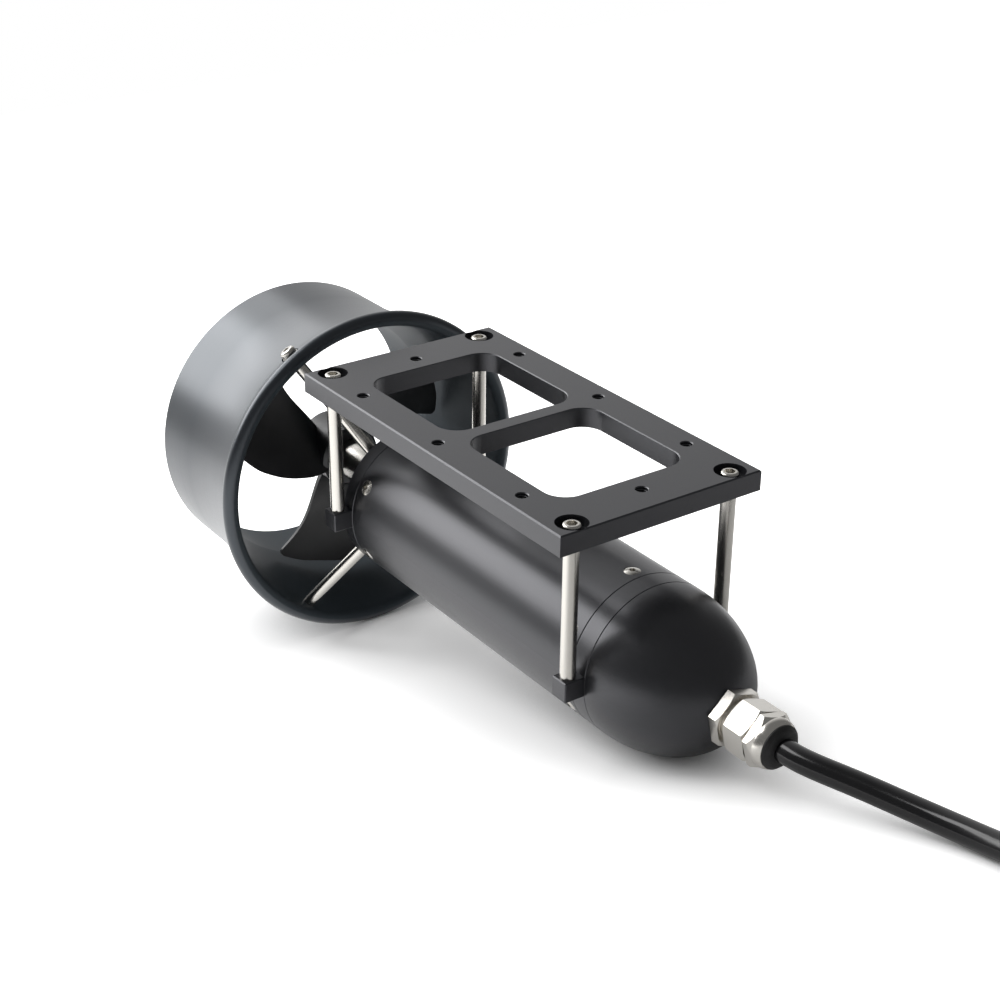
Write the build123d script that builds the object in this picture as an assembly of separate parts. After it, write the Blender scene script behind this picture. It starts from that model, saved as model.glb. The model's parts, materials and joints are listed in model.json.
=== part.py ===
from build123d import *
import math
import os

os.makedirs("parts", exist_ok=True)

# Ducted underwater thruster. X runs along the body from the dome (-X) to the propeller (+X),
# Z is up, and the origin is the centre of the mounting plate's top face. Millimetres.

# Clearances
thread_gap = 0.05
slip_gap = 0.1
running_gap = 0.04
press_gap = 0.02
tap_hole_gap = 0.1

# Mounting plate
plate_margin_x = 7.0
plate_margin_y = 10.7
plate_thickness = 9.0
plate_edge = 0.6
hole_edge = 0.35
window_end_bar = 23.8
window_side_bar = 17.5
window_web = 8.0
window_corner = 10.0
mount_hole_d = 5.0
mount_hole_bar = 36.2
mount_hole_side = 8.6
mount_hole_end = 14.0
counterbore_d = 13.5
counterbore_depth = 4.3

# Standoff rods and plate screws
rod_past_tube = 4.7
rod_past_axis = 39.8
rod_d = 6.5
rod_tap_depth = 12.0
stud_length = 7.5
thread_d = 4.0
head_d = 7.6
head_height = 4.0
head_edge = 1.1
socket_flats = 4.2
socket_depth = 1.8
plate_screw_length = 12.0

# Body tube
axis_drop = 73.1
tube_length = 166.6
tube_d = 70.0
tube_wall = 4.0
tube_screw_inset = 5.8
tube_screws = 6
tube_screw_head_d = 7.0
tube_screw_length = 8.0
tube_screw_socket = 2.5
tube_screw_sink = 0.2
tube_screw_rise = 0.7
spigot_length = 17.0
ring_inset = 11.8
ring_section = 1.8
groove_width = 2.6
groove_depth = 1.85

# Lugs on both end caps
lug_width = 8.8
lug_height = 9.0
lug_rise = 4.5
lug_past_rod = 4.4
lug_edge = 0.4
seam_edge = 0.3

# Rear cap
rear_flange = 9.0
rear_flange_edge = 1.6
rear_hub_d = 48.0
rear_hub_length = 11.7
rear_hub_edge = 1.2

# Nose cap
nose_ring = 9.5
dome_length = 49.3
dome_cut = 2.5
nose_wall = 4.9
dome_wall = 8.3

# Shaft line
journal_d = 8.0
shaft_d = 10.0
shaft_front = -33.5
shoulder_front = -25.5
shoulder_rear = 80.0
shaft_past_nut = 3.9
rear_bearing_d = 26.0
rear_bearing_width = 8.0
front_bearing_d = 22.0
front_bearing_width = 7.0
inner_ring_wall = 2.4
bracket_width = 10.0
bracket_hole_d = 12.0
bracket_front = -36.0

# Motor
stator_front = -10.0
stator_length = 60.0
stator_bore = 35.0
stator_slots = 9
slot_width = 7.6
slot_depth = 7.4
tooth_lip = 1.6
coil_gap = 0.3
coil_overhang = 7.0
rotor_d = 29.0
rotor_length = 56.0
magnet_thickness = 2.3
magnets = 8
magnet_gap = 4.0

# Seal housing
housing_d = 20.0
housing_length = 36.7
housing_spigot_d = 22.0
housing_spigot_length = 20.0
housing_bore_d = 16.0
housing_neck_d = 9.2
housing_neck_end = 3.0
seal_width = 6.0
seal_edge_gap = 0.2
housing_edge = 0.5

# Propeller
propeller_d = 127.0
propeller_gap = 0.6
hub_d = 31.0
hub_length = 26.7
hub_edge = 1.5
blades = 3
blade_pitch = 107.0
blade_plane = 13.1
first_blade_angle = 30.0
blade_root_thickness = 4.2
blade_tip_thickness = 2.0
blade_edge_thickness = 1.0
blade_tip_round = 2.4
blade_motor_angle = -50.0
blade_motor_sweep = 26.0
blade_tail_angle = 33.0
blade_root_angle = 38.0
pin_d = 3.0
pin_length = 20.0
pin_slot_depth = 4.4
pin_inset = 1.0
nut_flats = 13.0
nut_length = 6.5
prop_washer_d = 17.0
prop_washer_thickness = 1.6

# Duct
blade_tip_gap = 1.5
duct_past_hub = 34.6
duct_wall = 7.3
lip_past_hub = 17.7
lip_rise = 13.0
lip_round = 3.7
throat_length = 51.0
throat_step = 0.25
flare_inner_start = 1.3
flare_inner_drop = 3.45
flare_inner_mid = 24.8
flare_inner_mid_rise = 4.0
flare_outer_start = 2.3
flare_outer_rise = 1.7
flare_outer_mid = 24.3
flare_outer_mid_rise = 2.65
straight_length = 34.1
lip_blend = 3.0
tail_edge = 0.8

# Struts between rear hub and duct
struts = 3
first_strut_angle = 60.0
strut_angle = 28.24
strut_d = 6.0
strut_past_flange = 8.7
strut_past_hub = 4.1
strut_root = 16.0
strut_short = 2.6
strut_pocket_gap = 0.05

# Screws through the duct into the struts; they lean less than the struts do
screw_angle = 19.0
screw_cross = 0.5
screw_seat = 2.0
strut_screw_length = 8.0
strut_tap_past_screw = 0.7
button_height = 2.3
button_edge = 1.3
button_socket_flats = 2.8
button_socket_depth = 1.2
seat_d = 9.6
flat_washer_d = 8.0
flat_washer_thickness = 0.8
spring_washer_d = 7.4
spring_washer_thickness = 0.9
spring_washer_cut = 0.8

# Cable gland
gland_flats = 22.0
gland_flange = 4.6
gland_angle = 17.7
gland_thread_d = 16.0
gland_thread_length = 9.0
gland_neck_d = 17.4
gland_neck = 9.0
washer_thickness = 0.7
washer_d = 22.0
nut_gland_flats = 21.0
nut_gland_length = 11.1
nut_gland_angle = 19.6
nut_neck_show = 2.4
cap_flats = 21.2
cap_groove = 0.8
cap_flat_length = 3.8
cap_round_length = 4.0
cap_mouth_d = 18.8
cap_angle = 14.0
seal_d = 18.6
seal_show = 1.4
seal_depth = 5.9
seal_funnel = 1.5
seal_flare = 0.5
seal_edge = 0.9
chamfer_hex = 1.4

# Cable
cable_d = 10.0
cable_inside = 42.0
coil_across = 110.0
coil_layers = 2
coil_lift = 1.0
coil_centre_p = -312.0
coil_centre_q = -71.0
tie_width = 5.0
tie_thickness = 0.8
core_d = 2.8
core_length = 34.0
core_gap = 0.6

# Sizes that follow from the ones above
axis_z = -axis_drop
tube_r = tube_d / 2
bore_r = tube_r - tube_wall
tube_half = tube_length / 2
rod_x = tube_half + rod_past_tube
rod_y = rod_past_axis
plate_length = 2 * (rod_x + plate_margin_x)
plate_width = 2 * (rod_y + plate_margin_y)
lug_reach = rod_y + lug_past_rod
lug_top = axis_z + lug_rise
plate_bottom = -plate_thickness
tap_r = thread_d / 2 + thread_gap
spigot_r = bore_r - slip_gap
flange_end = tube_half + rear_flange
hub_end = flange_end + rear_hub_length
housing_end = hub_end + housing_length
hub_start = housing_end + propeller_gap
hub_tail = hub_start + hub_length
dome_start = -tube_half - nose_ring
dome_flat = dome_length - dome_cut
flat_x = dome_start - dome_flat
gland_seat = flat_x - washer_thickness
flange_face = gland_seat - gland_flange
nut_start = flange_face - nut_neck_show
nut_end = nut_start - nut_gland_length
cap_start = nut_end - cap_groove
cap_shoulder = cap_start - cap_flat_length
cap_end = cap_shoulder - cap_round_length
seal_face = cap_end - seal_show
cable_start = seal_face + seal_depth
shaft_rear = hub_tail + prop_washer_thickness + nut_length + shaft_past_nut
blade_centre_x = hub_start + blade_plane
duct_tail = hub_tail + duct_past_hub
lip_x = hub_end + lip_past_hub
duct_bore = propeller_d + 2 * blade_tip_gap
lip_centre_r = duct_bore / 2 + lip_rise
strut_x = flange_end + strut_past_flange
strut_r = rear_hub_d / 2 + strut_past_hub
strut_end = (lip_centre_r - strut_r) / math.cos(math.radians(strut_angle)) - strut_short


def on_axis(shape):
    """Moves a piece made about the X axis to the body axis."""
    return Pos(0, 0, axis_z) * shape


def turned(*points):
    """A solid turned about the X axis from (x, radius) corners."""
    outline = Polyline(*points, close=True)
    return revolve(make_face(outline), Axis.X)


def rod_along_x(x_start, x_end, radius):
    length = x_end - x_start
    return Pos(x_start + length / 2, 0, 0) * Rot(0, 90, 0) * Cylinder(radius, length)


def ring_along_x(x_start, x_end, outer_r, inner_r):
    return rod_along_x(x_start, x_end, outer_r) - rod_along_x(x_start - 1, x_end + 1, inner_r)


def hex_along_x(x_start, x_end, flats, turn):
    """A hexagonal bar along X, with one corner turned from +Y towards +Z."""
    outline = RegularPolygon(flats / math.sqrt(3), 6, rotation=turn)
    bar = extrude(Plane.YZ.offset(x_start) * outline, x_end - x_start)
    return bar


def around(shape, count, start=0.0):
    """Copies of a piece at equal angles about the X axis; angles run from +Y towards +Z."""
    return [Rot(start + 360 * i / count, 0, 0) * shape for i in range(count)]


def socket_screw(length, height, edge, flats, depth):
    """A round-edged socket screw standing on z = 0, with its shank below."""
    head = Cylinder(head_d / 2, height, align=(Align.CENTER, Align.CENTER, Align.MIN))
    head = fillet(head.edges().group_by(Axis.Z)[-1], edge)
    shank = Cylinder(thread_d / 2, length, align=(Align.CENTER, Align.CENTER, Align.MAX))
    socket = extrude(Plane.XY.offset(height) * RegularPolygon(flats / math.sqrt(3), 6), -depth)
    return head + shank - socket


def countersunk_screw(grow=0.0):
    """A countersunk screw with its rim at z = 0 and a raised top; grow makes the hole for it."""
    top_r = tube_screw_head_d / 2 + grow
    shank_r = thread_d / 2 + grow
    cone_height = top_r - shank_r
    outline = Polyline(
        (0, 0), (top_r, 0), (shank_r, -cone_height), (shank_r, -tube_screw_length), (0, -tube_screw_length),
        close=True,
    )
    screw = revolve(Plane.XZ * make_face(outline), Axis.Z)
    if grow:
        return screw + Cylinder(top_r, 2, align=(Align.CENTER, Align.CENTER, Align.MIN))
    crown = ThreePointArc((-top_r, 0), (0, tube_screw_rise), (top_r, 0))
    half = make_face(crown.edges() + Line((-top_r, 0), (top_r, 0)).edges()) & Pos(top_r, 0) * Rectangle(
        2 * top_r, 4 * top_r
    )
    screw += revolve(Plane.XZ * half, Axis.Z)
    hexagon = RegularPolygon(tube_screw_socket / math.sqrt(3), 6)
    return screw - extrude(Plane.XY.offset(tube_screw_rise) * hexagon, -cone_height)


def leaning_frame(around_axis, x, radius, lean):
    """Placement at (x, radius) whose Z axis points outwards and leans towards the propeller."""
    lean = math.radians(lean)
    plane = Plane(origin=(x, radius, 0), x_dir=(0, 0, 1), z_dir=(math.sin(lean), math.cos(lean), 0))
    return Pos(0, 0, axis_z) * Rot(around_axis, 0, 0) * plane.location


def strut_frame(around_axis):
    return leaning_frame(around_axis, strut_x, strut_r, strut_angle)


def screw_frame(around_axis):
    """Placement of a duct screw, from the point where its axis crosses the strut's."""
    lean = math.radians(strut_angle)
    reach = strut_end + screw_cross
    x = strut_x + reach * math.sin(lean)
    return leaning_frame(around_axis, x, strut_r + reach * math.cos(lean), screw_angle)


def along_z(start, end, radius):
    cylinder = Cylinder(radius, end - start, align=(Align.CENTER, Align.CENTER, Align.MIN))
    return Pos(0, 0, start) * cylinder


strut_places = [first_strut_angle + 360 * i / struts for i in range(struts)]
rod_places = [(x, y) for x in (-rod_x, rod_x) for y in (-rod_y, rod_y)]
tube_screw_x = tube_half - tube_screw_inset
tube_screw_angles = [90 + 360 * i / tube_screws for i in range(tube_screws)]


def tube_screw_places(x):
    """Placements of one row of tube screws, with Z pointing out of the tube."""
    out = Pos(x, 0, tube_r - tube_screw_sink)
    return [Pos(0, 0, axis_z) * Rot(angle - 90, 0, 0) * out for angle in tube_screw_angles]


def make_plate():
    top = Rectangle(plate_length, plate_width)
    plate = extrude(top, -plate_thickness)
    plate = chamfer(plate.faces().sort_by(Axis.Z)[-1].edges(), plate_edge)
    window_length = plate_length / 2 - window_end_bar - window_web / 2
    window_width = plate_width - 2 * window_side_bar
    window_x = window_web / 2 + window_length / 2
    for x in (-window_x, window_x):
        window = RectangleRounded(window_length, window_width, window_corner)
        plate -= Pos(x, 0, 0) * extrude(window, -plate_thickness)
    hole_x = plate_length / 2 - mount_hole_bar
    hole_y = plate_width / 2 - mount_hole_side
    tapped = [(x, y) for x in (-hole_x, 0, hole_x) for y in (-hole_y, hole_y)]
    tapped += [(side * (plate_length / 2 - mount_hole_end), 0) for side in (-1, 1)]
    for x, y in tapped:
        plate -= Pos(x, y, -plate_thickness / 2) * Cylinder(mount_hole_d / 2, plate_thickness)
    for x, y in rod_places:
        plate -= Pos(x, y, -plate_thickness / 2) * Cylinder(thread_d / 2 + tap_hole_gap, plate_thickness)
        plate -= Pos(x, y, -counterbore_depth / 2) * Cylinder(counterbore_d / 2, counterbore_depth)
    rims = [edge for wire in plate.faces().sort_by(Axis.Z)[-1].inner_wires() for edge in wire.edges()]
    return chamfer(rims, hole_edge)


def make_plate_screws():
    screw = socket_screw(plate_screw_length, head_height, head_edge, socket_flats, socket_depth)
    return [Pos(x, y, -counterbore_depth) * screw for x, y in rod_places]


def make_rods():
    length = plate_bottom - lug_top
    rods = []
    for x, y in rod_places:
        rod = Pos(x, y, lug_top + length / 2) * Cylinder(rod_d / 2, length)
        rod -= Pos(x, y, plate_bottom - rod_tap_depth / 2) * Cylinder(tap_r, rod_tap_depth)
        rod += Pos(x, y, lug_top - stud_length / 2) * Cylinder(thread_d / 2, stud_length)
        rods.append(rod)
    return rods


def make_lugs(x):
    """Two square lugs that grow out of an end cap's ring at x."""
    lugs = []
    for side in (-1, 1):
        inner = tube_r * 0.8
        width = lug_reach - inner
        block = Box(lug_width, width, lug_height)
        block = chamfer(block.edges(), lug_edge)
        block = Pos(x, side * (inner + width / 2), lug_top - lug_height / 2) * block
        hole = Pos(x, side * rod_y, lug_top - lug_height / 2) * Cylinder(tap_r, lug_height)
        lugs.append((block, hole))
    return lugs


def o_ring_groove(x):
    groove_floor = spigot_r - groove_depth
    return on_axis(ring_along_x(x - groove_width / 2, x + groove_width / 2, tube_r, groove_floor))


def make_rear_cap():
    start = tube_half - spigot_length
    pocket_end = start + rear_bearing_width
    housing_start = hub_end - housing_spigot_length
    cap = turned(
        (start, rear_bearing_d / 2 + slip_gap),
        (start, spigot_r),
        (tube_half, spigot_r),
        (tube_half, tube_r - seam_edge),
        (tube_half + seam_edge, tube_r),
        (flange_end - rear_flange_edge, tube_r),
        (flange_end, tube_r - rear_flange_edge),
        (flange_end, rear_hub_d / 2),
        (hub_end - rear_hub_edge, rear_hub_d / 2),
        (hub_end, rear_hub_d / 2 - rear_hub_edge),
        (hub_end, housing_spigot_d / 2 + thread_gap),
        (housing_start, housing_spigot_d / 2 + thread_gap),
        (housing_start, shaft_d / 2 + 1),
        (pocket_end, shaft_d / 2 + 1),
        (pocket_end, rear_bearing_d / 2 + slip_gap),
    )
    cap = on_axis(cap) - o_ring_groove(tube_half - ring_inset)
    for block, hole in make_lugs(rod_x):
        cap = cap + block - hole
    for place in tube_screw_places(tube_screw_x):
        cap -= place * Pos(0, 0, -tube_screw_length / 2) * Cylinder(tap_r, tube_screw_length + 1)
    for angle in strut_places:
        cap -= strut_frame(angle) * along_z(-strut_root, strut_end, strut_d / 2 + strut_pocket_gap)
    return cap


def make_nose_cap():
    start = -tube_half + spigot_length
    inner_r = spigot_r - nose_wall
    flat_r = tube_r * math.sqrt(1 - (dome_flat / dome_length) ** 2)
    inner_length = dome_length - dome_wall
    gland_r = gland_thread_d / 2 + thread_gap
    inner_end = dome_start - inner_length * math.sqrt(1 - (gland_r / inner_r) ** 2)
    outer_angle = math.degrees(math.asin(dome_flat / dome_length))
    inner_angle = math.degrees(math.acos(gland_r / inner_r))
    outer = EllipticalCenterArc((dome_start, 0), dome_length, tube_r, 90, arc_size=outer_angle)
    inner = EllipticalCenterArc((dome_start, 0), inner_length, inner_r, 90, arc_size=inner_angle)
    edges = Curve() + [
        outer,
        Line((flat_x, flat_r), (flat_x, gland_r)),
        Line((flat_x, gland_r), (inner_end, gland_r)),
        inner,
        Polyline(
            (dome_start, inner_r),
            (start, inner_r),
            (start, spigot_r),
            (-tube_half, spigot_r),
            (-tube_half, tube_r - seam_edge),
            (-tube_half - seam_edge, tube_r),
            (dome_start + 2 * seam_edge, tube_r),
            (dome_start + seam_edge, tube_r - seam_edge),
            (dome_start, tube_r),
        ),
    ]
    cap = on_axis(revolve(make_face(edges.edges()), Axis.X)) - o_ring_groove(ring_inset - tube_half)
    for block, hole in make_lugs(-rod_x):
        inside = on_axis(rod_along_x(-rod_x - lug_width, -rod_x + lug_width, inner_r))
        cap = cap + (block - inside) - hole
    for place in tube_screw_places(-tube_screw_x):
        cap -= place * Pos(0, 0, -tube_screw_length / 2) * Cylinder(tap_r, tube_screw_length + 1)
    return cap


def make_tube():
    tube = on_axis(turned(
        (-tube_half, bore_r),
        (-tube_half, tube_r - seam_edge),
        (-tube_half + seam_edge, tube_r),
        (tube_half - seam_edge, tube_r),
        (tube_half, tube_r - seam_edge),
        (tube_half, bore_r),
    ))
    for x in (-tube_screw_x, tube_screw_x):
        for place in tube_screw_places(x):
            tube -= place * countersunk_screw(thread_gap)
    return tube


def make_tube_screws(x):
    return [place * countersunk_screw() for place in tube_screw_places(x)]


def make_o_ring(x):
    ring_r = bore_r - ring_section / 2 - press_gap
    return on_axis(Pos(x, 0, 0) * Rot(0, 90, 0) * Torus(ring_r, ring_section / 2))


def make_shaft():
    core_r = shaft_d / 2
    end_r = journal_d / 2
    shaft = turned(
        (shaft_front, 0),
        (shaft_front, end_r),
        (shoulder_front, end_r),
        (shoulder_front, core_r),
        (shoulder_rear, core_r),
        (shoulder_rear, end_r),
        (shaft_rear - 1, end_r),
        (shaft_rear, end_r - 1),
        (shaft_rear, 0),
    )
    pin_hole = Pos(pin_x, 0, 0) * Cylinder(pin_d / 2 + press_gap, journal_d + 2)
    return on_axis(shaft - pin_hole)


def bearing_rings(x_start, width, outer_d, bore_d):
    """The fixed outer ring with its shields, and the turning inner ring."""
    split_r = bore_d / 2 + inner_ring_wall
    outer = ring_along_x(x_start, x_start + width, outer_d / 2, split_r + running_gap)
    inner = ring_along_x(x_start, x_start + width, split_r, bore_d / 2 + press_gap)
    return on_axis(outer), on_axis(inner)


def make_bracket():
    face = bracket_front
    pocket = face + bracket_width - front_bearing_width
    bracket = turned(
        (face, bracket_hole_d / 2),
        (face, bore_r - slip_gap),
        (face + bracket_width, bore_r - slip_gap),
        (face + bracket_width, front_bearing_d / 2 + slip_gap),
        (pocket, front_bearing_d / 2 + slip_gap),
        (pocket, bracket_hole_d / 2),
    )
    for angle in (0, 120, 240):
        lead_hole = Rot(angle, 0, 0) * Pos(0, (bore_r + front_bearing_d / 2) / 2, 0)
        bracket -= lead_hole * rod_along_x(face - 1, face + bracket_width + 1, 4)
    return on_axis(bracket)


def make_stator():
    end = stator_front + stator_length
    core = ring_along_x(stator_front, end, bore_r - press_gap, stator_bore / 2)
    slot_start = stator_bore / 2 + tooth_lip
    slot = Pos(stator_front + stator_length / 2, slot_start + slot_depth / 2, 0) * Box(
        stator_length, slot_depth, slot_width
    )
    mouth = Pos(stator_front + stator_length / 2, slot_start, 0) * Box(
        stator_length, 2 * tooth_lip + 1, slot_width / 3
    )
    for cut in around(slot + mouth, stator_slots):
        core -= cut
    return on_axis(core)


def make_windings():
    """One wound bundle in each slot, standing out past both ends of the core."""
    length = stator_length + 2 * coil_overhang
    height = slot_depth - 2 * coil_gap
    centre_r = stator_bore / 2 + tooth_lip + slot_depth / 2
    bundle = Pos(stator_front + stator_length / 2, centre_r, 0) * Box(
        length, height, slot_width - 2 * coil_gap
    )
    return [on_axis(piece) for piece in around(bundle, stator_slots)]


def make_rotor():
    start = stator_front + (stator_length - rotor_length) / 2
    core = ring_along_x(start, start + rotor_length, rotor_d / 2, shaft_d / 2 + press_gap)
    return on_axis(core)


def make_magnets():
    start = stator_front + (stator_length - rotor_length) / 2
    inner_r = rotor_d / 2 + press_gap
    shell = ring_along_x(start, start + rotor_length, inner_r + magnet_thickness, inner_r)
    reach = 2 * (inner_r + magnet_thickness)
    span = math.radians((360 / magnets - magnet_gap) / 2)
    wedge_end = (reach * math.cos(span), reach * math.sin(span))
    wedge_outline = Polyline((0, 0), wedge_end, (wedge_end[0], -wedge_end[1]), close=True)
    wedge = extrude(Plane.YZ.offset(start - 1) * make_face(wedge_outline), rotor_length + 2)
    return [on_axis(piece) for piece in around(shell & wedge, magnets)]


def make_seal_housing():
    start = hub_end - housing_spigot_length
    neck_end = start + housing_spigot_length + housing_neck_end
    edge_r = housing_d / 2 - housing_edge
    housing = turned(
        (start, housing_neck_d / 2),
        (start, housing_spigot_d / 2),
        (hub_end, housing_spigot_d / 2),
        (hub_end, housing_d / 2),
        (housing_end - housing_edge, housing_d / 2),
        (housing_end, edge_r),
        (housing_end, housing_bore_d / 2),
        (neck_end, housing_bore_d / 2),
        (neck_end, housing_neck_d / 2),
    )
    return on_axis(housing)


def seal_places():
    """Start and end of the two lip seals and the water-side bush in the housing."""
    first = hub_end + housing_neck_end
    second = first + seal_width + seal_edge_gap
    bush = second + seal_width + seal_edge_gap
    return (first, first + seal_width), (second, second + seal_width), (bush, housing_end - 0.6)


def make_shaft_seals():
    return [
        on_axis(ring_along_x(a, b, housing_bore_d / 2 - press_gap, journal_d / 2 + running_gap))
        for a, b in seal_places()[:2]
    ]


def make_shaft_bush():
    a, b = seal_places()[2]
    return on_axis(ring_along_x(a, b, housing_bore_d / 2 - press_gap, journal_d / 2 + running_gap))


# Blade edges seen along the shaft, as (share of the tip radius, degrees from the blade's centre line)
tail_edge_line = [(0.276, 24.0), (0.472, 24.0), (0.646, 24.2), (0.748, 25.5), (0.86, 27.8), (0.969, 30.2)]
motor_edge_line = [
    (0.276, -45.5), (0.315, -44.3), (0.457, -38.8), (0.611, -32.7), (0.69, -29.3),
    (0.767, -26.1), (0.846, -22.1), (0.913, -18.6), (0.976, -15.0),
]
section_heights = (0.142, 0.315, 0.504, 0.693, 0.882, 1.07)


def polar(radius, degrees):
    angle = math.radians(degrees)
    return radius * math.cos(angle), radius * math.sin(angle)


def make_blade_outline():
    """The blade seen along the shaft: two swept edges and a round tip."""
    tip_r = propeller_d / 2
    root_r = hub_d * 0.4
    tail_tip = polar(tip_r * 1.063, 31.5)
    motor_tip = polar(tip_r * 1.063, -11.0)
    tail = Spline(*[polar(share * tip_r, a) for share, a in tail_edge_line], tail_tip)
    motor = Spline(*[polar(share * tip_r, a) for share, a in motor_edge_line], motor_tip)
    root_tail = polar(root_r, tail_edge_line[0][1])
    root_motor = polar(root_r, motor_edge_line[0][1])
    edges = Curve() + [
        tail,
        Line(tail_tip, motor_tip),
        motor,
        Line(motor @ 0, root_motor),
        Line(root_motor, root_tail),
        Line(root_tail, tail @ 0),
    ]
    outline = make_face(edges.edges()) & Circle(tip_r)
    corners = [v for v in outline.vertices() if abs(math.hypot(v.X, v.Y) - tip_r) < 0.5]
    return fillet(corners, blade_tip_round)


def blade_section(height):
    """Closed section of the blade in the flat plane at this height from the shaft."""
    tip_height = propeller_d / 2
    share = min(height / tip_height, 1.0)
    thickness = blade_root_thickness + (blade_tip_thickness - blade_root_thickness) * share
    low = blade_motor_angle + blade_motor_sweep * share
    high = blade_tail_angle if height > hub_d / 2 else blade_root_angle
    steps = 6
    upper, lower = [], []
    for i in range(steps + 1):
        along = i / steps
        degrees = low + (high - low) * along
        angle = math.radians(degrees)
        across = height * math.tan(angle)
        x = blade_pitch * degrees / 360
        half = blade_edge_thickness / 2 + (thickness - blade_edge_thickness) / 2 * math.sin(math.pi * along)
        slope = math.atan2(blade_pitch / (2 * math.pi), height / math.cos(angle) ** 2)
        upper.append((x + half * math.cos(slope), across - half * math.sin(slope)))
        lower.append((x - half * math.cos(slope), across + half * math.sin(slope)))
    edges = Curve() + [
        Spline(*upper),
        Line(upper[-1], lower[-1]),
        Spline(*lower),
        Line(lower[0], upper[0]),
    ]
    # The section's own axes are X along the shaft and Y across the blade.
    place = Plane(origin=(0, height, 0), x_dir=(1, 0, 0), z_dir=(0, -1, 0))
    return place * make_face(edges.edges())


def make_propeller():
    body = loft([blade_section(share * propeller_d / 2) for share in section_heights])
    cutter = extrude(Plane.YZ.offset(-propeller_d / 4) * make_blade_outline(), propeller_d / 2)
    blade = Pos(blade_centre_x, 0, 0) * (body & cutter)
    hub = turned(
        (hub_start, journal_d / 2 + press_gap),
        (hub_start, hub_d / 2 - hub_edge),
        (hub_start + hub_edge, hub_d / 2),
        (hub_tail - hub_edge, hub_d / 2),
        (hub_tail, hub_d / 2 - hub_edge),
        (hub_tail, journal_d / 2 + press_gap),
    )
    propeller = hub
    for piece in around(blade, blades, first_blade_angle):
        propeller += piece
    slot = Pos(hub_start + pin_slot_depth / 2, 0, 0) * Box(
        pin_slot_depth, pin_d + 2 * slip_gap, pin_length + 2 * slip_gap
    )
    return on_axis(propeller - slot)


pin_x = hub_start + pin_inset + pin_d / 2


def make_drive_pin():
    return on_axis(Pos(pin_x, 0, 0) * Cylinder(pin_d / 2, pin_length))


def make_prop_washer():
    end = hub_tail + prop_washer_thickness
    return on_axis(ring_along_x(hub_tail, end, prop_washer_d / 2, journal_d / 2 + slip_gap))


def make_prop_nut():
    start = hub_tail + prop_washer_thickness
    end = start + nut_length
    bar = hex_along_x(start, end, nut_flats, 30)
    corner_r = nut_flats / math.sqrt(3)
    bevel = turned((start, 0), (start, corner_r), (end - 1, corner_r), (end, corner_r - 1.4), (end, 0))
    return on_axis((bar & bevel) - rod_along_x(start - 1, end + 1, journal_d / 2 + thread_gap))


def make_duct():
    bore = duct_bore / 2
    outer = bore + duct_wall
    inner_lip = (lip_x - flare_inner_start, lip_centre_r - flare_inner_drop)
    inner_mid = (lip_x + flare_inner_mid, bore + flare_inner_mid_rise)
    throat = (lip_x + throat_length, bore - throat_step)
    outer_lip = (lip_x + flare_outer_start, lip_centre_r + flare_outer_rise)
    outer_mid = (lip_x + flare_outer_mid, outer + flare_outer_mid_rise)
    straight = (duct_tail - straight_length, outer)
    flare = Curve() + [
        ThreePointArc(inner_lip, inner_mid, throat),
        Polyline(
            throat,
            (throat[0], bore),
            (duct_tail - tail_edge, bore),
            (duct_tail, bore + tail_edge),
            (duct_tail, outer - tail_edge),
            (duct_tail - tail_edge, outer),
            straight,
        ),
        ThreePointArc(straight, outer_mid, outer_lip),
        Polyline(outer_lip, (lip_x, lip_centre_r), inner_lip),
    ]
    profile = make_face(flare.edges()) + Pos(lip_x, lip_centre_r) * Circle(lip_round)
    joins = [v for v in profile.vertices() if lip_x < v.X < lip_x + 2 * lip_round and v.Y > lip_centre_r]
    profile = fillet(joins, lip_blend)
    duct = on_axis(revolve(profile, Axis.X))
    for angle in strut_places:
        duct -= strut_frame(angle) * along_z(0, strut_end, strut_d / 2 + strut_pocket_gap)
        duct -= screw_frame(angle) * along_z(-screw_seat, screw_seat + 1, thread_d / 2 + tap_hole_gap)
        duct -= screw_frame(angle) * along_z(screw_seat, screw_seat + 4 * lip_round, seat_d / 2)
    return duct


spring_seat = screw_seat + flat_washer_thickness
button_seat = spring_seat + spring_washer_thickness


def make_struts():
    bar = along_z(-strut_root, strut_end, strut_d / 2)
    tap_end = button_seat - strut_screw_length - strut_tap_past_screw
    return [
        strut_frame(angle) * bar - screw_frame(angle) * along_z(tap_end, screw_seat, tap_r)
        for angle in strut_places
    ]


def make_flat_washers():
    washer = along_z(screw_seat, spring_seat, flat_washer_d / 2)
    washer -= along_z(screw_seat - 1, spring_seat + 1, thread_d / 2 + tap_hole_gap)
    return [screw_frame(angle) * washer for angle in strut_places]


def make_spring_washers():
    washer = along_z(spring_seat, button_seat, spring_washer_d / 2)
    washer -= along_z(spring_seat - 1, button_seat + 1, thread_d / 2 + tap_hole_gap)
    washer -= Pos(spring_washer_d / 2, 0, spring_seat) * Box(spring_washer_d, spring_washer_cut, 4)
    return [screw_frame(angle) * washer for angle in strut_places]


def make_strut_screws():
    screw = socket_screw(
        strut_screw_length, button_height, button_edge, button_socket_flats, button_socket_depth
    )
    return [screw_frame(angle) * Pos(0, 0, button_seat) * screw for angle in strut_places]


def bevelled_hex(x_start, x_end, flats, turn, round_front, round_back):
    """A hexagonal bar whose corners are turned off at the ends that are named."""
    corner_r = flats / math.sqrt(3)
    front = chamfer_hex if round_front else 0
    back = chamfer_hex if round_back else 0
    low, high = min(x_start, x_end), max(x_start, x_end)
    blank = turned(
        (low, 0),
        (low, corner_r - front),
        (low + front * 0.6 + 0.001, corner_r),
        (high - back * 0.6 - 0.001, corner_r),
        (high, corner_r - back),
        (high, 0),
    )
    return hex_along_x(low, high, flats, turn) & blank


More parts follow.
